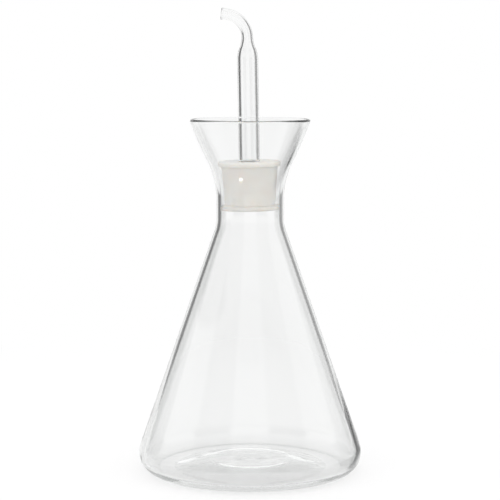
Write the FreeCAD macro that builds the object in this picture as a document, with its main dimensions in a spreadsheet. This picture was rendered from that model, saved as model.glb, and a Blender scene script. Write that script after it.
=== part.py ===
import FreeCAD, Part
import math
import os

import Sketcher

# An oil cruet: a blown conical glass flask, a silicone plug pressed into its neck, and a drawn and bent
# glass spout that passes through the plug. Millimetres, +Z up, origin at the centre of the foot.
# The plug and the spout are built about the seat, the middle of the plug's sealing ring, and then placed.

SIZES = (
    # alias, value, what it measures
    ("flask_height", 176.6, "foot to the top of the rim"),
    ("base_diameter", 112.0, "flask across its heel, the widest place"),
    ("heel_round", 10.0, "radius of the heel's outer skin"),
    ("foot_width", 8.0, "width of the flat ring that the flask stands on"),
    ("foot_round", 6.0, "radius between the flat ring and the push-up"),
    ("punt_height", 3.6, "rise of the push-up under the middle of the base"),
    ("dimple_diameter", 39.4, "level middle of the push-up"),
    ("dimple_round", 6.0, "radius round the edge of that level middle"),
    ("neck_diameter", 33.6, "outside of the neck"),
    ("neck_length", 10.8, "straight part of the neck"),
    ("mouth_height", 38.6, "top of the straight neck to the top of the rim"),
    ("waist_round", 17.5, "radius where the cone turns up into the neck"),
    ("flare_round", 37.5, "radius of the flare's outer skin"),
    ("flare_angle", 27.5, "steepest lean of the mouth, in degrees from upright"),
    ("mouth_diameter", 59.4, "outside of the rim"),
    ("wall", 1.9, "glass of the neck and the mouth"),
    ("base_wall", 2.4, "glass of the heel and the base"),
    ("seat_rise", 5.8, "middle of the plug's sealing ring above the bottom of the straight neck"),
    ("lean", 1.0, "lean of the plug and the spout towards -X, in degrees"),
    ("seal_gap", 0.1, "clearance between the sealing ring and the neck"),
    ("seal_height", 2.2, "height of the sealing ring"),
    ("seal_round", 0.7, "radius of the sealing ring's edges"),
    ("plug_height", 24.2, "whole height of the plug"),
    ("plug_top_diameter", 28.0, "plug just under its lip"),
    ("plug_bottom_diameter", 24.8, "plug just above its sealing ring"),
    ("lip_diameter", 31.0, "lip on top of the plug"),
    ("lip_height", 2.4, "thickness of the lip"),
    ("lip_round", 0.9, "radius of the lip's edges"),
    ("vent_diameter", 1.6, "air vent through the plug"),
    ("vent_height", 14.8, "side mouth of the vent above the seat"),
    ("vent_across", 4.1, "vent from the plug's middle plane, towards -X"),
    ("vent_depth", 8.0, "upright channel of the vent from the plug's axis, towards -Y"),
    ("tube_diameter", 10.4, "outside of the spout's straight tube"),
    ("tube_wall", 1.3, "glass of the straight tube"),
    ("tube_gap", 0.05, "clearance between the tube and the plug"),
    ("tube_recess", 2.0, "end of the tube above the bottom of the plug"),
    ("draw_start", 73.0, "height above the seat at which the tube begins to narrow"),
    ("draw_length", 10.5, "length over which the tube narrows"),
    ("nib_diameter", 5.6, "outside of the drawn nib"),
    ("nib_wall", 0.95, "glass of the nib"),
    ("bend_radius", 11.7, "radius of the nib's bend, at its centre line"),
    ("bend_angle", 83.0, "turn of the bend, in degrees"),
    ("nib_length", 2.4, "straight end after the bend"),
    ("edge_round", 0.3, "fire-polished edges of the spout"),
)

Vector = FreeCAD.Vector
LEFT = 1
RIGHT = -1
START = 1
END = 2
CENTRE = 3


class Size:
    """A length as a number, together with the formula on the sheet that gives it."""

    def __init__(self, value, formula):
        self.value = float(value)
        self.formula = formula

    def _joined(self, sign, other, value):
        text = other.formula if isinstance(other, Size) else repr(other)
        return Size(value, f"({self.formula} {sign} {text})")

    def __add__(self, other):
        return self._joined("+", other, self.value + float(other))

    def __sub__(self, other):
        return self._joined("-", other, self.value - float(other))

    def __mul__(self, other):
        return self._joined("*", other, self.value * float(other))

    def __truediv__(self, other):
        return self._joined("/", other, self.value / float(other))

    def __neg__(self):
        return Size(-self.value, f"(0 - {self.formula})")

    def __float__(self):
        return self.value

    def cosine(self):
        return Size(math.cos(self.radians()), f"cos({self.degrees()})")

    def radians(self):
        return math.radians(self.value)

    def degrees(self):
        return f"({self.formula} * 1deg)"


def size(alias):
    return Size(sheet.get(alias), f"sizes.{alias}")


def neck_top():
    return size("flask_height") - size("mouth_height")


def neck_bottom():
    return neck_top() - size("neck_length")


def make_sheet():
    cells = doc.addObject("Spreadsheet::Sheet", "sizes")
    for row, (alias, value, note) in enumerate(SIZES, start=1):
        cells.set(f"A{row}", alias)
        cells.set(f"B{row}", str(value))
        cells.setAlias(f"B{row}", alias)
        cells.set(f"C{row}", note)
    doc.recompute()
    return cells


# ---------------------------------------------------------------- sketches

class Outline:
    """A sketch on one of its body's origin planes, drawn as a run of straights and arcs."""

    def __init__(self, body, name, role):
        self.sketch = body.newObject("Sketcher::SketchObject", name)
        plane = next(item for item in body.Origin.OriginFeatures if item.Role == role)
        self.sketch.AttachmentSupport = (plane, [""])
        self.sketch.MapMode = "FlatFace"
        self.pieces = []
        self.here = None

    def tie(self, kind, *places):
        self.sketch.addConstraint(Sketcher.Constraint(kind, *places))

    def drive(self, name, kind, *places_and_length):
        """Adds a named dimension and ties it to its formula on the sheet."""
        *places, length = places_and_length
        index = self.sketch.addConstraint(Sketcher.Constraint(kind, *places, float(length)))
        self.sketch.renameConstraint(index, name)
        self.sketch.setExpression(f"Constraints.{name}", length.formula)

    def drive_angle(self, name, arc, angle):
        index = self.sketch.addConstraint(Sketcher.Constraint("Angle", arc, angle.radians()))
        self.sketch.renameConstraint(index, name)
        self.sketch.setExpression(f"Constraints.{name}", angle.degrees())

    def place(self, name, piece, spot, across=None, up=None):
        """Dimensions a point from the sketch's own origin."""
        if across is not None:
            self.drive(f"{name}_across", "DistanceX", -1, START, piece, spot, across)
        if up is not None:
            self.drive(f"{name}_up", "DistanceY", -1, START, piece, spot, up)

    def on_axis(self, piece, spot):
        self.tie("PointOnObject", piece, spot, -2)

    def start(self, point):
        self.here = point

    def _join(self, piece, enter, leave, smooth):
        if self.pieces:
            last, _, last_leave = self.pieces[-1]
            self.tie("Tangent" if smooth else "Coincident", last, last_leave, piece, enter)
        self.pieces.append((piece, enter, leave))
        return piece

    def straight(self, end, smooth=True):
        piece = self.sketch.addGeometry(Part.LineSegment(self.here, end))
        self.here = end
        return self._join(piece, START, END, smooth)

    def arc(self, centre, end, side, smooth=True):
        begin = math.atan2(self.here.y - centre.y, self.here.x - centre.x)
        finish = math.atan2(end.y - centre.y, end.x - centre.x)
        circle = Part.Circle(centre, Vector(0, 0, 1), (end - centre).Length)
        self.here = end
        if side == LEFT:
            piece = self.sketch.addGeometry(Part.ArcOfCircle(circle, begin, finish))
            return self._join(piece, START, END, smooth)
        piece = self.sketch.addGeometry(Part.ArcOfCircle(circle, finish, begin))
        return self._join(piece, END, START, smooth)

    def close(self):
        first, enter, _ = self.pieces[0]
        last, _, leave = self.pieces[-1]
        self.tie("Coincident", last, leave, first, enter)


def corner(across, up):
    return Vector(float(across), float(up), 0)


def leftward(heading):
    """Unit vector to the left of a heading in the sketch's plane."""
    return Vector(-math.sin(heading), math.cos(heading), 0)


def heading_between(turn_a, turn_b):
    """Heading of the straight that leaves one turn and enters the next."""
    (centre_a, bend_a), (centre_b, bend_b) = turn_a, turn_b
    gap = centre_b - centre_a
    return math.atan2(gap.y, gap.x) - math.asin((bend_b - bend_a) / gap.Length)


def arcs_along(turns, first, last):
    """Each turn with the ends of its arc. A turn is its centre and its radius, negative to the right."""
    headings = [first, *(heading_between(a, b) for a, b in zip(turns, turns[1:])), last]
    return [
        (centre, centre - leftward(enter) * bend, centre - leftward(leave) * bend, LEFT if bend > 0 else RIGHT)
        for (centre, bend), enter, leave in zip(turns, headings, headings[1:])
    ]


# ---------------------------------------------------------------- bodies

def upright(up):
    """A point on a body's upright axis."""
    return Vector(0, 0, float(up))


def make_body(name):
    body = doc.addObject("PartDesign::Body", f"{name}_body")
    body.Label = name
    return body


def turn_round(body, name, outline):
    """Turns an outline once round the upright axis of its sketch."""
    turned = body.newObject("PartDesign::Revolution", name)
    turned.Profile = outline.sketch
    turned.ReferenceAxis = (outline.sketch, ["V_Axis"])
    turned.Angle = 360
    doc.recompute()
    return turned


def round_edges(body, name, base, circles, radius):
    """Rounds the circular edges that have one of the given radii about one of the given centres."""
    near = 0.001
    names = [
        f"Edge{number}"
        for number, edge in enumerate(base.Shape.Edges, start=1)
        if isinstance(edge.Curve, Part.Circle) and any(
            abs(edge.Curve.Radius - float(circle_radius)) < near
            and (edge.Curve.Center - centre).Length < near
            for circle_radius, centre in circles
        )
    ]
    if len(names) != len(circles):
        raise RuntimeError(f"{name}: found {len(names)} of {len(circles)} edges")
    rounded = body.newObject("PartDesign::Fillet", name)
    rounded.Base = (base, names)
    rounded.setExpression("Radius", radius.formula)
    doc.recompute()
    return rounded


def seat(body):
    """Stands a body that was built about the seat in the flask's neck, with the plug's lean."""
    height = neck_bottom() + size("seat_rise")
    body.Placement = FreeCAD.Placement(
        Vector(0, 0, float(height)), FreeCAD.Rotation(Vector(0, -1, 0), float(size("lean")))
    )
    body.setExpression("Placement.Base.z", height.formula)
    body.setExpression("Placement.Rotation.Angle", size("lean").degrees())


def make_flask():
    """The glass: a push-up base, a rounded heel, a cone, a straight neck and a flared mouth."""
    body = make_body("flask")
    outline = Outline(body, "flask_outline", "XZ_Plane")
    wall = size("wall")
    base_wall = size("base_wall")
    punt = size("punt_height")
    foot_edge = size("base_diameter") / 2 - size("heel_round")
    neck_radius = size("neck_diameter") / 2
    rim_across = size("mouth_diameter") / 2 - wall / 2
    rim_up = size("flask_height") - wall / 2
    turns = (
        # name, centre across, centre up, radius of the outer skin, side it turns to, glass there
        ("dimple", size("dimple_diameter") / 2, punt - size("dimple_round"), size("dimple_round"),
         RIGHT, base_wall),
        ("foot", foot_edge - size("foot_width"), size("foot_round"), size("foot_round"), LEFT, base_wall),
        ("heel", foot_edge, size("heel_round"), size("heel_round"), LEFT, base_wall),
        ("waist", neck_radius + size("waist_round"), neck_bottom(), size("waist_round"), RIGHT, wall),
        ("flare", neck_radius + size("flare_round"), neck_top(), size("flare_round"), RIGHT, wall),
    )
    names = [turn[0] for turn in turns]
    centres = [corner(across, up) for _, across, up, _, _, _ in turns]
    outer_bends = [float(radius) * side for _, _, _, radius, side, _ in turns]
    inner_bends = [float(glass) - bend for (*_, glass), bend in zip(turns, outer_bends)]

    # The mouth is one arc: the middle of its glass leaves the flare smoothly and ends in the rim's centre.
    steepest = math.pi / 2 - size("flare_angle").radians()
    inward = leftward(steepest)
    flare_end = centres[-1] - inward * (outer_bends[-1] - float(wall) / 2)
    rim = corner(rim_across, rim_up)
    reach = rim - flare_end
    mouth = flare_end + inward * (reach.Length ** 2 / (2 * reach.dot(inward)))
    half_glass = (rim - mouth).normalize() * (float(wall) / 2)

    outline.start(corner(0, punt))
    outer = {}
    for name, turn in zip(names, arcs_along(list(zip(centres, outer_bends)), 0, steepest)):
        centre, begin, finish, side = turn
        outline.straight(begin)
        outer[name] = outline.arc(centre, finish, side)
    outer_mouth = outline.arc(mouth, rim + half_glass, LEFT)
    rim_end = outline.arc(rim, rim - half_glass, LEFT)
    inner = {}
    inner_turns = list(zip(reversed(centres), reversed(inner_bends)))
    inner_mouth = None
    for name, turn in zip(reversed(names), arcs_along(inner_turns, steepest + math.pi, math.pi)):
        centre, begin, finish, side = turn
        if inner_mouth is None:
            inner_mouth = outline.arc(mouth, begin, RIGHT)
        else:
            outline.straight(begin)
        inner[name] = outline.arc(centre, finish, side)
    floor = outline.straight(corner(0, punt + base_wall))
    outline.straight(corner(0, punt), smooth=False)
    outline.close()

    for name, across, up, radius, side, glass in turns:
        outline.place(name, outer[name], CENTRE, across, up)
        outline.drive(f"{name}_round", "Radius", outer[name], radius)
        outline.tie("Coincident", inner[name], CENTRE, outer[name], CENTRE)
        if name != "flare":
            outline.drive(f"{name}_inner_round", "Radius", inner[name], radius - glass * side)
    outline.tie("Coincident", inner_mouth, CENTRE, outer_mouth, CENTRE)
    outline.drive("steepest_lean", "DistanceX", outer["flare"], START, outer["flare"], CENTRE,
                  size("flare_round") * size("flare_angle").cosine())
    outline.place("rim", rim_end, CENTRE, rim_across, rim_up)
    outline.drive("rim_round", "Radius", rim_end, wall / 2)
    outline.on_axis(0, START)
    outline.place("punt", 0, START, up=punt)
    outline.on_axis(floor, END)
    outline.place("floor", floor, END, up=punt + base_wall)
    turn_round(body, "flask_turned", outline)
    return body


def make_stopper():
    """The silicone plug: a sealing ring, a tapered body and a lip, with the tube's bore and an air vent."""
    body = make_body("stopper")
    outline = Outline(body, "plug_outline", "XZ_Plane")
    bore = size("tube_diameter") / 2 + size("tube_gap")
    seal = size("neck_diameter") / 2 - size("wall") - size("seal_gap")
    lip = size("lip_diameter") / 2
    seal_top = size("seal_height") / 2
    bottom = -seal_top
    top = size("plug_height") - seal_top
    lip_under = top - size("lip_height")
    corners = (
        ("bore_bottom", bore, bottom),
        ("seal_bottom", seal, bottom),
        ("seal_top", seal, seal_top),
        ("body_bottom", size("plug_bottom_diameter") / 2, seal_top),
        ("body_top", size("plug_top_diameter") / 2, lip_under),
        ("lip_under", lip, lip_under),
        ("lip_top", lip, top),
        ("bore_top", bore, top),
    )
    outline.start(corner(*corners[0][1:]))
    for name, across, up in corners[1:] + corners[:1]:
        piece = outline.straight(corner(across, up), smooth=False)
        outline.place(name, piece, END, across, up)
    outline.close()
    turned = turn_round(body, "plug_turned", outline)
    seal_edges = [(seal, upright(bottom)), (seal, upright(seal_top))]
    lip_edges = [(lip, upright(lip_under)), (lip, upright(top))]
    rounded = round_edges(body, "seal_rounded", turned, seal_edges, size("seal_round"))
    rounded = round_edges(body, "lip_rounded", rounded, lip_edges, size("lip_round"))

    vent_x = -size("vent_across")
    vent_y = -size("vent_depth")
    before = rounded.Shape.Volume
    channel = body.newObject("PartDesign::SubtractiveCylinder", "vent_channel")
    channel.setExpression("Height", (size("vent_height") + size("seal_height")).formula)
    side_mouth = body.newObject("PartDesign::SubtractiveCylinder", "vent_side_mouth")
    side_mouth.Placement = FreeCAD.Placement(Vector(0, 0, 0), FreeCAD.Rotation(Vector(1, 0, 0), 90))
    side_mouth.setExpression("Height", (size("plug_top_diameter") / 2).formula)
    for hole, up in ((channel, -size("seal_height")), (side_mouth, size("vent_height"))):
        hole.setExpression("Radius", (size("vent_diameter") / 2).formula)
        hole.setExpression("Placement.Base.x", vent_x.formula)
        hole.setExpression("Placement.Base.y", vent_y.formula)
        hole.setExpression("Placement.Base.z", up.formula)
        doc.recompute()
        if hole.Shape.Volume >= before - 1:
            raise RuntimeError(f"{hole.Label} cuts nothing")
        before = hole.Shape.Volume
    seat(body)
    return body


def make_spout():
    """The glass tube: straight through the plug, drawn down above it and bent over into a nib."""
    body = make_body("spout")
    tube = size("tube_diameter") / 2
    tube_bore = tube - size("tube_wall")
    nib = size("nib_diameter") / 2
    nib_bore = nib - size("nib_wall")
    bottom = size("tube_recess") - size("seal_height") / 2
    draw_start = size("draw_start")
    draw_end = draw_start + size("draw_length")

    def draw_down(outline, begin, finish, begin_up, finish_up, smooth):
        """Two equal arcs, one each way, from one upright skin to a narrower or wider one."""
        drop = float(begin) - float(finish)
        rise = float(finish_up) - float(begin_up)
        radius = (rise ** 2 + drop ** 2) / (4 * drop)
        side = LEFT if drop * rise > 0 else RIGHT
        middle = corner((float(begin) + float(finish)) / 2, (float(begin_up) + float(finish_up)) / 2)
        first = outline.arc(corner(float(begin) - radius, begin_up), middle, side, smooth)
        second = outline.arc(corner(float(finish) + radius, finish_up), corner(finish, finish_up), -side)
        outline.tie("Equal", first, second)
        return first, second

    outline = Outline(body, "tube_outline", "XZ_Plane")
    outline.start(corner(tube_bore, bottom))
    foot = outline.straight(corner(tube, bottom))
    outside = outline.straight(corner(tube, draw_start), smooth=False)
    _, outer_narrow = draw_down(outline, tube, nib, draw_start, draw_end, smooth=True)
    top = outline.straight(corner(nib_bore, draw_end), smooth=False)
    inner_narrow, _ = draw_down(outline, nib_bore, tube_bore, draw_end, draw_start, smooth=False)
    inside = outline.straight(corner(tube_bore, bottom))
    outline.close()
    for name, piece, spot, across, up in (
        ("foot_inside", foot, START, tube_bore, bottom),
        ("foot_outside", foot, END, tube, bottom),
        ("draw_outside", outside, END, tube, draw_start),
        ("top_outside", top, START, nib, draw_end),
        ("top_inside", top, END, nib_bore, draw_end),
        ("draw_inside", inside, START, tube_bore, draw_start),
        ("outer_narrow", outer_narrow, CENTRE, None, draw_end),
        ("inner_narrow", inner_narrow, CENTRE, None, draw_end),
    ):
        outline.place(name, piece, spot, across, up)
    turn_round(body, "tube_turned", outline)

    path = Outline(body, "nib_path", "XZ_Plane")
    turn = size("bend_angle").radians()
    centre = corner(-size("bend_radius"), draw_end)
    bend_end = centre - leftward(math.pi / 2 + turn) * float(size("bend_radius"))
    path.start(corner(0, draw_end))
    bend = path.arc(centre, bend_end, LEFT)
    straight = path.straight(bend_end + leftward(turn) * float(size("nib_length")))
    path.on_axis(bend, START)
    path.place("bend_start", bend, START, None, draw_end)
    path.place("bend_centre", bend, CENTRE, -size("bend_radius"), draw_end)
    path.drive_angle("bend_angle", bend, size("bend_angle"))
    path.drive("nib_length", "Distance", straight, size("nib_length"))

    ring = Outline(body, "nib_ring", "XY_Plane")
    ring.sketch.setExpression("AttachmentOffset.Base.z", draw_end.formula)
    for name, radius in (("nib_outside", nib), ("nib_bore", nib_bore)):
        circle = ring.sketch.addGeometry(Part.Circle(Vector(0, 0, 0), Vector(0, 0, 1), float(radius)))
        ring.tie("Coincident", circle, CENTRE, -1, START)
        ring.drive(name, "Radius", circle, radius)
    bent = body.newObject("PartDesign::AdditivePipe", "nib_bent")
    bent.Profile = ring.sketch
    bent.Spine = (path.sketch, ["Edge1", "Edge2"])
    doc.recompute()
    tip = Vector(path.here.x, 0, path.here.y)
    edges = [(tube, upright(bottom)), (tube_bore, upright(bottom)), (nib, tip), (nib_bore, tip)]
    round_edges(body, "ends_polished", bent, edges, size("edge_round"))
    seat(body)
    return body


def check(bodies):
    """Stops if any object of the document failed, or if a sub-part isn't one sound solid."""
    doc.recompute()
    for item in doc.Objects:
        if "Invalid" in item.State or "Error" in item.State:
            raise RuntimeError(f"{item.Label} did not build")
    for body in bodies:
        shape = body.Shape
        if shape.isNull() or not shape.isValid() or len(shape.Solids) != 1:
            raise RuntimeError(f"{body.Label} is not one valid solid")


doc = FreeCAD.newDocument("oil_cruet")
sheet = make_sheet()
bodies = [make_flask(), make_stopper(), make_spout()]
check(bodies)
os.makedirs("parts", exist_ok=True)
for body in bodies:
    body.Shape.exportStep(f"parts/{body.Label}.step")
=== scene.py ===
import math

import bmesh
import bpy
from mathutils import Matrix, Vector


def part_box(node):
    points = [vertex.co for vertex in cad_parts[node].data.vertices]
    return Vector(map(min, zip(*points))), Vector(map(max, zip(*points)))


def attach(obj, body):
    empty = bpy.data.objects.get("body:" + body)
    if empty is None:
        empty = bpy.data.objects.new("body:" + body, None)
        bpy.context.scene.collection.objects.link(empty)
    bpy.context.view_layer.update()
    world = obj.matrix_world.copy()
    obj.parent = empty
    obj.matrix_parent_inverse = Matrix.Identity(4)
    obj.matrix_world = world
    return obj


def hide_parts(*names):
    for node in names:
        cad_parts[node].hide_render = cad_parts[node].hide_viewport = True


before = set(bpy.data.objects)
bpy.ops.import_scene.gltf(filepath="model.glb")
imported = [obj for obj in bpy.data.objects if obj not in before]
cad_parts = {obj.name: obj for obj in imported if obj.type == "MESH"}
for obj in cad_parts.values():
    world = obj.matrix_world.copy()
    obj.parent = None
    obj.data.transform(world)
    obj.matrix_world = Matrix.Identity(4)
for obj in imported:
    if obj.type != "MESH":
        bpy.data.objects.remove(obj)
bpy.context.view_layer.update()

# ---------------------------------------------------------------- camera
# A camera on a stand, a little above the cruet and turned down to its middle, with a long lens so that
# the upright sides stay nearly parallel.

camera_place = Vector((0, -0.850, 0.208))
camera_aim = Vector((-0.0001, 0, 0.1115))
camera_data = bpy.data.cameras.new("camera")
camera_data.sensor_width = 36
camera_data.lens = 123.7
camera = bpy.data.objects.new("camera", camera_data)
looking = (camera_aim - camera_place).to_track_quat("-Z", "Y")
camera.matrix_world = Matrix.LocRotScale(camera_place, looking, None)
bpy.context.scene.collection.objects.link(camera)
bpy.context.scene.camera = camera

# ---------------------------------------------------------------- flask
# Blown in one piece from clear borosilicate glass: a push-up base, a cone, a short straight neck and a
# flared mouth. The rim is melted round in the flame. The flask carries everything else.

MM = 0.001
base_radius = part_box("flask")[1].x
flask_wall = 1.9 * MM
floor_extra = 0.5 * MM
push_up = 3.6 * MM
push_up_edge = 20.3 * MM
foot_inner_edge = 37.4 * MM
push_up_round = 12 * MM
foot_round = 10 * MM
heel_round = 10 * MM
cone_lean = math.radians(19.2)
neck_radius = 16.8 * MM
neck_top = 138 * MM
waist_round = 17.5 * MM
flare_round = 37.5 * MM
flare_lean = math.radians(27.5)
mouth_round = 147.7 * MM
rim_lean = math.radians(19.04)
rim_round = 0.485 * flask_wall
melted_up = 3 * heel_round
melt_passes = 12
longest_edge = 2.5 * MM
sharp_angle = 1.0  # radians
weld = 0.01 * MM
glass_steps = 240

clear = (1, 1, 1, 1)
black = (0, 0, 0, 1)
glass_tint = (0.82, 0.84, 0.83, 1)
# A painted line of shade in the glass's colour, one wall's thickness inside the outline:
painted_line_grey = (0.30, 0.31, 0.30, 1)
painted_line_strength = 0.3
line_outer_side = (0.4, 0.8)  # in walls' thicknesses from the outline
line_inner_side = (1.1, 1.5)
line_fade = 2 * MM
# The painted glow in the thick base, after two or three bounces:
painted_glow_grey = (0.43, 0.43, 0.43, 1)
trapped_bounces = (2, 3)
ripple_strength = 30
ripple_heights = (3 * MM, 16 * MM)
base_heights = (6 * MM, 12 * MM)
base_radii = (38 * MM, 46 * MM)
speck_share = (0.62, 0.9)
speck_roughness = 0.02


def outline(corners):
    """A bmesh of one run of edges through corners, each given as (across, up), in the XZ plane."""
    bm = bmesh.new()
    points = [bm.verts.new((across, 0, up)) for across, up in corners]
    for start, end in zip(points, points[1:]):
        bm.edges.new((start, end))
    return bm, points


def heel_corners(edge, radius, turn):
    """The two corners whose rounding makes one long arc that leaves the level at edge and turns upwards."""
    half = radius * math.tan(turn / 4)
    return (edge + half, 0), (edge + half + 2 * half * math.cos(turn / 2), 2 * half * math.sin(turn / 2))


def round_corner(bm, point, radius, segments):
    """Rounds one corner of an outline with an arc that touches both of its edges."""
    first, second = ((edge.other_vert(point).co - point.co).normalized() for edge in point.link_edges)
    offset = radius / math.tan(first.angle(second) / 2)
    bmesh.ops.bevel(bm, geom=[point], offset=offset, affect="VERTICES", segments=segments, profile=0.5,
                    material=-1, clamp_overlap=False)


def divide_long_edges(bm, longest):
    """Cuts the straight runs of an outline so that no edge is longer than asked."""
    for edge in list(bm.edges):
        cuts = math.ceil(edge.calc_length() / longest) - 1
        if cuts > 0:
            bmesh.ops.subdivide_edges(bm, edges=[edge], cuts=cuts)


def turn_round(bm, steps):
    """Turns an outline once round the upright axis, and closes its seam and poles."""
    bmesh.ops.spin(bm, geom=bm.verts[:] + bm.edges[:], cent=(0, 0, 0), axis=(0, 0, 1), angle=math.tau,
                   steps=steps, use_merge=True, use_duplicate=False)
    bmesh.ops.remove_doubles(bm, verts=bm.verts, dist=weld)
    bmesh.ops.recalc_face_normals(bm, faces=bm.faces)


def make_piece(bm, name, material):
    """Makes a smooth, finished piece of a bmesh."""
    mesh = bpy.data.meshes.new(name)
    bm.to_mesh(mesh)
    bm.free()
    mesh.shade_smooth()
    mesh.materials.append(material)
    piece = bpy.data.objects.new(name, mesh)
    bpy.context.scene.collection.objects.link(piece)
    return piece


class Wire:
    """One output of a node, on which Python's own sums add Math nodes."""

    def __init__(self, finish, socket):
        self.finish = finish
        self.socket = socket

    def maths(self, operation, *others):
        """A Math node on this output and the other values."""
        return self.finish.wire("ShaderNodeMath", {"operation": operation}, {
            number: value for number, value in enumerate((self, *others))
        })

    def __add__(self, other):
        return self.maths("ADD", other)

    def __sub__(self, other):
        return self.maths("SUBTRACT", other)

    def __rsub__(self, other):
        return self.finish.wire("ShaderNodeMath", {"operation": "SUBTRACT"}, {0: other, 1: self})

    def __mul__(self, other):
        return self.maths("MULTIPLY", other)

    def __truediv__(self, other):
        return self.maths("DIVIDE", other)

    def __pow__(self, other):
        return self.maths("POWER", other)

    __radd__ = __add__
    __rmul__ = __mul__

    def smooth(self, start, end):
        """0 before start, 1 past end, and a soft step between."""
        return self.finish.wire("ShaderNodeMapRange", {"interpolation_type": "SMOOTHSTEP"},
                                {"Value": self, "From Min": start, "From Max": end})


class Finish:
    """The nodes of one material or of the world."""

    def __init__(self, owner):
        owner.use_nodes = True
        self.tree = owner.node_tree
        self.tree.nodes.clear()
        self.owner = owner

    def node(self, kind, settings=None, inputs=None):
        """Adds a node, sets it up, and then fills or links its inputs."""
        node = self.tree.nodes.new(kind)
        for name, value in (settings or {}).items():
            setattr(node, name, value)
        for name, value in (inputs or {}).items():
            if isinstance(value, Wire):
                self.tree.links.new(value.socket, node.inputs[name])
            else:
                node.inputs[name].default_value = value
        return node

    def wire(self, kind, settings=None, inputs=None, output=0):
        """Adds a node and gives back one of its outputs."""
        return Wire(self, self.node(kind, settings, inputs).outputs[output])

    def blend(self, share, first, second):
        """A colour between two colours."""
        first_colour, second_colour, mixed_colour = 6, 7, 2
        return self.wire("ShaderNodeMix", {"data_type": "RGBA"},
                         {"Factor": share, first_colour: first, second_colour: second}, output=mixed_colour)

    def parts(self, vector):
        """The three numbers of a vector."""
        node = self.node("ShaderNodeSeparateXYZ", inputs={0: vector})
        return [Wire(self, socket) for socket in node.outputs]

    def surface(self, shader):
        """Makes a shader the material's surface."""
        self.node("ShaderNodeOutputMaterial", inputs={"Surface": shader})


def clear_glass(name, wall, plain_above, painted_edge_shade, streaks, absorbed, density):
    """Clear glass with a painted dark line of shade, one wall's thickness inside its outline, up to plain_above.
    """
    glass = Finish(bpy.data.materials.new(name))
    here = glass.wire("ShaderNodeTexCoord", output="Object")
    across, deep, up = glass.parts(here)
    radius = (across ** 2 + deep ** 2) ** 0.5
    # Painted shade: Layer Weight finds the line one wall's thickness inside the outline and greys the glass's
    # colour there.
    upright = 1 - glass.wire("ShaderNodeLayerWeight", inputs={"Blend": 0.5}, output="Facing")
    in_wall = upright ** 2 * radius / (2 * wall)
    painted_line = in_wall.smooth(*line_outer_side) * (1 - in_wall.smooth(*line_inner_side))
    painted_line = painted_line * (1 - up.smooth(plain_above - line_fade, plain_above))
    colour = glass.blend(painted_line * painted_edge_shade, clear, painted_line_grey)

    # Flat waves from the blowing or drawing, and small ripples in the base, where the mould chilled it.
    stretched = glass.wire("ShaderNodeMapping", inputs={"Vector": here, "Scale": streaks})
    waves = glass.wire("ShaderNodeTexNoise", inputs={"Vector": stretched, "Scale": 1.0, "Detail": 2.0})
    specks = glass.wire("ShaderNodeTexNoise", inputs={"Vector": here, "Scale": 900.0, "Detail": 1.0})
    ripples = glass.wire("ShaderNodeTexNoise", inputs={"Vector": here, "Scale": 75.0, "Detail": 1.0})
    relief = waves + ripples * ripple_strength * (1 - up.smooth(*ripple_heights))
    bump = glass.wire("ShaderNodeBump", inputs={"Strength": 0.25, "Distance": 0.05 * MM, "Height": relief})

    # Painted light: where a ray goes on bouncing inside the thick base, the glass turns black there and glows a
    # dull grey in its place.
    bounces = glass.wire("ShaderNodeLightPath", output="Glossy Depth")
    in_base = (1 - up.smooth(*base_heights)) * (1 - radius.smooth(*base_radii))
    painted_glow = bounces.smooth(*trapped_bounces) * in_base
    shader = glass.wire("ShaderNodeBsdfPrincipled", inputs={
        "Base Color": glass.blend(painted_glow, colour, black),
        "Emission Color": glass.blend(painted_glow, black, painted_glow_grey), "Emission Strength": 1.0,
        "Roughness": specks.smooth(*speck_share) * speck_roughness, "IOR": 1.47,
        "Transmission Weight": 1.0, "Normal": bump,
    })
    inside = glass.wire("ShaderNodeVolumeAbsorption", inputs={"Color": absorbed, "Density": density})
    glass.node("ShaderNodeOutputMaterial", inputs={"Surface": shader, "Volume": inside})
    return glass.owner


foot_outer_edge = base_radius - heel_round
heel_turn = math.pi / 2 + cone_lean
cone_foot = foot_outer_edge + heel_round * math.tan(heel_turn / 2)
waist_up = (cone_foot - neck_radius) / math.tan(cone_lean)
flare_up = neck_top + flare_round * math.tan(flare_lean / 2)
mouth_half = mouth_round * math.tan((flare_lean - rim_lean) / 2)
flare_run = flare_round * math.tan(flare_lean / 2) + mouth_half
mouth_across = neck_radius + flare_run * math.sin(flare_lean)
mouth_up = flare_up + flare_run * math.cos(flare_lean)
rim_run = mouth_half + flask_wall / 2
rim_across = mouth_across + rim_run * math.sin(rim_lean)
rim_up = mouth_up + rim_run * math.cos(rim_lean)

bm, points = outline((
    (0, push_up), (push_up_edge, push_up), (foot_inner_edge, 0),
    *heel_corners(foot_outer_edge, heel_round, heel_turn),
    (neck_radius, waist_up), (neck_radius, flare_up), (mouth_across, mouth_up), (rim_across, rim_up),
))
for point, (radius, segments) in zip(points[1:-1], (
    (push_up_round, 16), (foot_round, 8), (heel_round, 14), (heel_round, 14),
    (waist_round, 12), (flare_round, 14), (mouth_round, 8),
)):
    round_corner(bm, point, radius, segments)
divide_long_edges(bm, longest_edge)
turn_round(bm, glass_steps)
bmesh.ops.reverse_faces(bm, faces=bm.faces)
outside = {vert.co.to_tuple(7) for vert in bm.verts}
bmesh.ops.solidify(bm, geom=bm.faces[:], thickness=flask_wall)
bm.normal_update()
inside = [vert for vert in bm.verts if vert.co.to_tuple(7) not in outside and vert.co.z < waist_up]
for vert in inside:
    vert.co += vert.normal * floor_extra * (1 - vert.co.z / waist_up)
melted = [vert for vert in inside if vert.co.z < melted_up]
for _ in range(melt_passes):
    bmesh.ops.smooth_vert(bm, verts=melted, factor=0.5, use_axis_x=True, use_axis_y=True, use_axis_z=True)
top = max(vert.co.z for vert in bm.verts)
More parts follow.
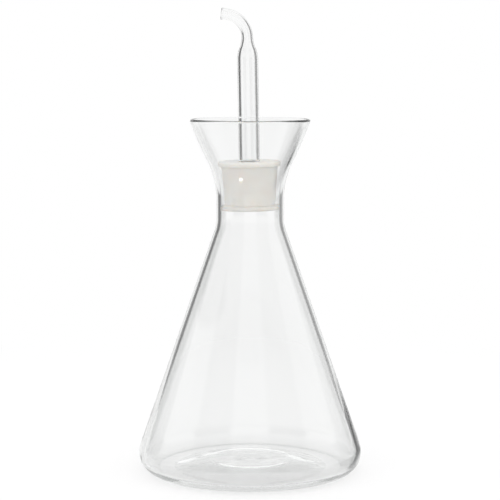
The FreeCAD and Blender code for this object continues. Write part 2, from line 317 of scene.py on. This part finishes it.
rim_edges = [edge for edge in bm.edges if not edge.smooth or (
    min(vert.co.z for vert in edge.verts) > top - flask_wall and abs(edge.calc_face_angle(0)) > sharp_angle
)]
bmesh.ops.bevel(bm, geom=rim_edges, offset=rim_round, affect="EDGES", segments=8, profile=0.5, material=-1)
blown_glass = clear_glass("flask_glass", wall=flask_wall, plain_above=rim_up - flask_wall,
                          painted_edge_shade=painted_line_strength, streaks=(70, 70, 6), absorbed=glass_tint, density=60)
flask = make_piece(bm, "flask_blown", blown_glass)
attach(flask, "root")
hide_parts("flask")

# ---------------------------------------------------------------- plug
# Moulded from translucent white silicone: a sealing ring that presses on the neck, a tapered body and a
# lip to pull it by. A fine hole from its bottom to its side lets air in as oil runs out.

seat = Vector((0, 0, 133 * MM))
lean = math.radians(1)
seal_radius = 14.8 * MM
seal_half = 1.1 * MM
plug_top = 23.1 * MM
lip_under = 20.7 * MM
lip_radius = 15.5 * MM
body_low_radius = 12.4 * MM
body_high_radius = 14.0 * MM
bore_radius = 5.25 * MM
bore_low_round = 0.2 * MM
bore_high_round = 0.3 * MM
seal_round = 0.7 * MM
seal_root_round = 0.5 * MM
lip_root_round = 0.8 * MM
lip_low_round = 0.6 * MM
lip_high_round = 0.9 * MM
vent_radius = 0.8 * MM
vent_place = Vector((-4.1, -8, 14.8)) * MM
drill_down = 40 * MM
drill_forward = 16 * MM
fine_edge = 2 * MM
plug_steps = 160
seated = Matrix.Translation(seat) @ Matrix.Rotation(-lean, 4, "Y")

milky_dark = (0.935, 0.87, 0.825, 1)
milky_light = (0.975, 0.91, 0.865, 1)
# The painted glow at the vent's mouth, on the plug's front:
painted_vent_glow = (0.85, 0.83, 0.79, 1)
vent_edge = (0.8 * vent_radius, 1.2 * vent_radius)
plug_front = (-4 * MM, -2 * MM)
cloud_share = (0.3, 0.7)
satin, satin_spread = 0.38, 0.16

bm, points = outline((
    (bore_radius, -seal_half), (seal_radius, -seal_half), (seal_radius, seal_half),
    (body_low_radius, seal_half), (body_high_radius, lip_under), (lip_radius, lip_under),
    (lip_radius, plug_top), (bore_radius, plug_top),
))
bm.edges.new((points[-1], points[0]))
for point, (radius, segments) in zip(points, (
    (bore_low_round, 2), (seal_round, 5), (seal_round, 5), (seal_root_round, 4),
    (lip_root_round, 5), (lip_low_round, 5), (lip_high_round, 6), (bore_high_round, 3),
)):
    round_corner(bm, point, radius, segments)
divide_long_edges(bm, fine_edge)
turn_round(bm, plug_steps)
bmesh.ops.transform(bm, matrix=seated, verts=bm.verts)

# Two drills start inside the plug, where the vent turns: one runs down, the other forwards.
vent_bm = bmesh.new()
for turn, length in ((math.pi, drill_down), (math.pi / 2, drill_forward)):
    drill = Matrix.Translation(vent_place) @ Matrix.Rotation(turn, 4, "X") @ Matrix.Translation((0, 0, length / 2))
    bmesh.ops.create_cone(vent_bm, cap_ends=True, segments=24, radius1=vent_radius, radius2=vent_radius,
                          depth=length, matrix=seated @ drill)

silicone = Finish(bpy.data.materials.new("plug_silicone"))
here = silicone.wire("ShaderNodeTexCoord", output="Object")
cloud = silicone.wire("ShaderNodeTexNoise", inputs={"Vector": here, "Scale": 140.0, "Detail": 3.0})
grain = silicone.wire("ShaderNodeTexNoise", inputs={"Vector": here, "Scale": 2600.0, "Detail": 2.0})
colour = silicone.blend(cloud.smooth(*cloud_share), milky_dark, milky_light)

# A painted glow round the vent's mouth, on the plug's front only, stands in for light that soaks through the thin
# silicone there and makes it paler than the plug.
across, deep, up = silicone.parts(here)
mouth = seated @ vent_place
from_vent = ((across - mouth.x) ** 2 + (up - mouth.z) ** 2) ** 0.5
painted_vent_share = (1 - from_vent.smooth(*vent_edge)) * (1 - deep.smooth(*plug_front))
silicone.surface(silicone.wire("ShaderNodeBsdfPrincipled", inputs={
    "Base Color": colour, "Roughness": satin + grain * satin_spread, "IOR": 1.41,
    "Emission Color": silicone.blend(painted_vent_share, black, painted_vent_glow), "Emission Strength": 1.0,
    "Subsurface Weight": 1.0, "Subsurface Radius": (1.0, 0.9, 0.8), "Subsurface Scale": 1.5 * MM,
    "Normal": silicone.wire("ShaderNodeBump", inputs={"Strength": 0.12, "Distance": 0.03 * MM, "Height": grain}),
}))
plug = make_piece(bm, "plug_moulded", silicone.owner)
vent = make_piece(vent_bm, "vent_drill", silicone.owner)
drilled = plug.modifiers.new("vent", "BOOLEAN")
drilled.object = vent
drilled.use_self = True
bpy.context.view_layer.update()
plug.data = bpy.data.meshes.new_from_object(plug.evaluated_get(bpy.context.evaluated_depsgraph_get()))
plug.modifiers.clear()
bpy.data.objects.remove(vent)
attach(plug, "root")
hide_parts("stopper")

# ---------------------------------------------------------------- spout
# Drawn from clear glass tube: straight through the plug, narrowed in the flame near its top and bent over
# into a nib that pours a thin stream. Its cut ends are melted round.

tube_radius = 5.2 * MM
tube_bore = 3.9 * MM
nib_radius = 2.8 * MM
nib_bore = 1.85 * MM
tube_bottom = 0.9 * MM
draw_start = 73 * MM
draw_length = 10.5 * MM
bend_radius = 11.7 * MM
bend_angle = math.radians(83)
nib_length = 2.4 * MM
end_round = 0.3 * MM
run_share = 0.995
round_share = 0.99
square_on = 0.999
tube_steps = 96
bend_steps = 36
draw_end = draw_start + draw_length


def draw_down(wide, narrow):
    """The rounding radius and the two corners of a skin that narrows by two equal arcs, which all but meet."""
    drop = wide - narrow
    radius = (draw_length ** 2 + drop ** 2) / (4 * drop)
    run = radius * math.tan(math.asin(draw_length / 2 / radius) / 2) * run_share
    return radius * round_share, (wide, draw_start + run), (narrow, draw_end - run)


outer_round, outer_low, outer_high = draw_down(tube_radius, nib_radius)
inner_round, inner_low, inner_high = draw_down(tube_bore, nib_bore)
bm, points = outline((
    (tube_bore, tube_bottom), (tube_radius, tube_bottom), outer_low, outer_high, (nib_radius, draw_end),
    (nib_bore, draw_end), inner_high, inner_low,
))
bm.edges.new((points[-1], points[0]))
for point, (radius, segments) in zip(points[:4] + points[6:], (
    (end_round, 3), (end_round, 3), (outer_round, 10), (outer_round, 10), (inner_round, 10), (inner_round, 10),
)):
    round_corner(bm, point, radius, segments)
divide_long_edges(bm, fine_edge)
turn_round(bm, tube_steps)

# The straight tube's top face is carried round the bend and then on to the nib's end.
cut = [face for face in bm.faces
       if face.normal.z > square_on and face.calc_center_median().z > draw_end - end_round]
bent = bmesh.ops.spin(bm, geom=cut, cent=(-bend_radius, 0, draw_end), axis=(0, -1, 0), angle=bend_angle,
                      steps=bend_steps)
tip = [item for item in bent["geom_last"] if isinstance(item, bmesh.types.BMFace)]
grown = bmesh.ops.extrude_face_region(bm, geom=tip)["geom"]
bmesh.ops.delete(bm, geom=cut + tip, context="FACES")
ahead = Vector((-math.sin(bend_angle), 0, math.cos(bend_angle)))
bmesh.ops.translate(bm, verts=[item for item in grown if isinstance(item, bmesh.types.BMVert)],
                    vec=ahead * nib_length)
bmesh.ops.remove_doubles(bm, verts=bm.verts, dist=weld)
bmesh.ops.recalc_face_normals(bm, faces=bm.faces)
tip_faces = [face for face in bm.faces
             if face.normal.dot(ahead) > square_on and face.calc_center_median().z > draw_end]
tip_edges = {edge for face in tip_faces for edge in face.edges if edge.calc_face_angle(0) > sharp_angle}
bmesh.ops.bevel(bm, geom=list(tip_edges), offset=end_round, affect="EDGES", segments=3, profile=0.5,
                material=-1)
bmesh.ops.transform(bm, matrix=seated, verts=bm.verts)
drawn_glass = clear_glass("spout_glass", wall=tube_radius - tube_bore, plain_above=seat.z + draw_start,
                          painted_edge_shade=0.0, streaks=(300, 300, 12), absorbed=glass_tint, density=80)
spout = make_piece(bm, "spout_drawn", drawn_glass)
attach(spout, "root")
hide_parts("spout")

# ---------------------------------------------------------------- stage
# A plain white table in an evenly lit white room, which keeps the soft shadow of the cruet. Dark cards
# stand in the room and on the table. Only glass shows them, and they give it its outlines.

table_half = 6
table_grey = (0.9, 0.9, 0.9, 1)
panel_count = 4
panel_edge = (-0.17, 0.17)
west_card, east_card = 0.12, 0.32
card_turn = (-0.2, 0.2)
card_top = (0.45, 0.65)
far_table = (0.9, 1.2)
shadow_depth = 0.25
shadow_reach = (0.12, 0.4)
patch_slant = 0.26
patch_depth = 0.95
patch_side = (0.056, 0.068)
patch_reach = (0.42, 0.62)
patch_front = (-0.03, -0.01)
# The painted shadow on the table under the base's front, which only glass shows:
painted_shadow_depth = 0.18
under_reach = (0.045, 0.065)
under_front = (0.005, -0.03)
table_in_glass = 0.98
daylight_level, daylight_front, daylight_overhead = 1.75, 0.45, 0.7
mirror_loss, mirror_loss_behind = 0.15, 0.5
behind_start = (-0.5, 0.3)


def dark_cards(east, north):
    """How bright the room is round the cruet: white ahead, behind and to both sides, with cards between."""
    around = east.maths("ARCTAN2", north)
    panels = (around * panel_count).maths("COSINE").smooth(*panel_edge)
    card_light = west_card + (east_card - west_card) * around.smooth(*card_turn)
    return card_light + (1 - card_light) * panels


floor_bm = bmesh.new()
bmesh.ops.create_grid(floor_bm, x_segments=1, y_segments=1, size=table_half)
table = Finish(bpy.data.materials.new("white_table"))
east, north, _ = table.parts(table.wire("ShaderNodeTexCoord", output="Object"))
distance = (east ** 2 + north ** 2) ** 0.5
shadow_share = shadow_depth * (1 - distance.smooth(*shadow_reach))

# The far cards, the dark patch to the right of the cruet, and a painted shadow that dims the table under the
# base's front.
cards = 1 - distance.smooth(*far_table) * (1 - dark_cards(east, north))
beside = (east - patch_slant * north).smooth(*patch_side)
beside = beside * (1 - distance.smooth(*patch_reach)) * north.smooth(*patch_front)
painted_shadow_under = (1 - distance.smooth(*under_reach)) * north.smooth(*under_front)
cards_and_painted_shadow = cards * table_in_glass * (1 - painted_shadow_depth * painted_shadow_under)

# A ray is bare until it meets something matt. The camera sees the table plain; glass sees the cards on it.
seen = table.node("ShaderNodeLightPath").outputs
by_camera, by_mirror, by_glass, matt_bounces = (Wire(table, seen[name]) for name in (
    "Is Camera Ray", "Is Glossy Ray", "Is Transmission Ray", "Diffuse Depth"))
shown = by_camera + by_mirror + by_glass
bare = 1 - matt_bounces.smooth(0, 1)
through = by_glass * bare
in_glass = (1 - by_camera) * bare
lit = table.wire("ShaderNodeBsdfDiffuse", inputs={"Color": table_grey})
white = table.wire("ShaderNodeEmission", inputs={
    "Color": clear, "Strength": (1 - through * (1 - cards_and_painted_shadow)) * (1 - patch_depth * beside * in_glass),
})
table.surface(table.wire("ShaderNodeMixShader", inputs={
    0: shown.smooth(0, 1) * (1 - shadow_share), 1: lit, 2: white,
}))
floor = make_piece(floor_bm, "table_top", table.owner)

bpy.context.scene.view_settings.view_transform = "Standard"
room = bpy.data.worlds.new("room")
bpy.context.scene.world = room
walls = Finish(room)
seen = walls.node("ShaderNodeLightPath").outputs
east, north, height = walls.parts(walls.wire("ShaderNodeTexCoord", output="Generated"))
card = 1 - (1 - dark_cards(east, north)) * (1 - height.smooth(*card_top))
by_mirror, by_glass, matt_bounces = (Wire(walls, seen[name]) for name in (
    "Is Glossy Ray", "Is Transmission Ray", "Diffuse Depth"))
bare = 1 - matt_bounces.smooth(0, 1)
through = by_glass * bare
mirrored = by_mirror * bare * (1 - through)
daylight = daylight_level - daylight_front * north - daylight_overhead * height
behind = 1 - north.smooth(*behind_start)
glass_sees = 1 - through * (1 - card) - mirrored * (mirror_loss + mirror_loss_behind * behind)
strength = glass_sees + (1 - bare) * (daylight - 1)
walls.node("ShaderNodeOutputWorld", inputs={
    "Surface": walls.wire("ShaderNodeBackground", inputs={"Color": clear, "Strength": strength}),
})
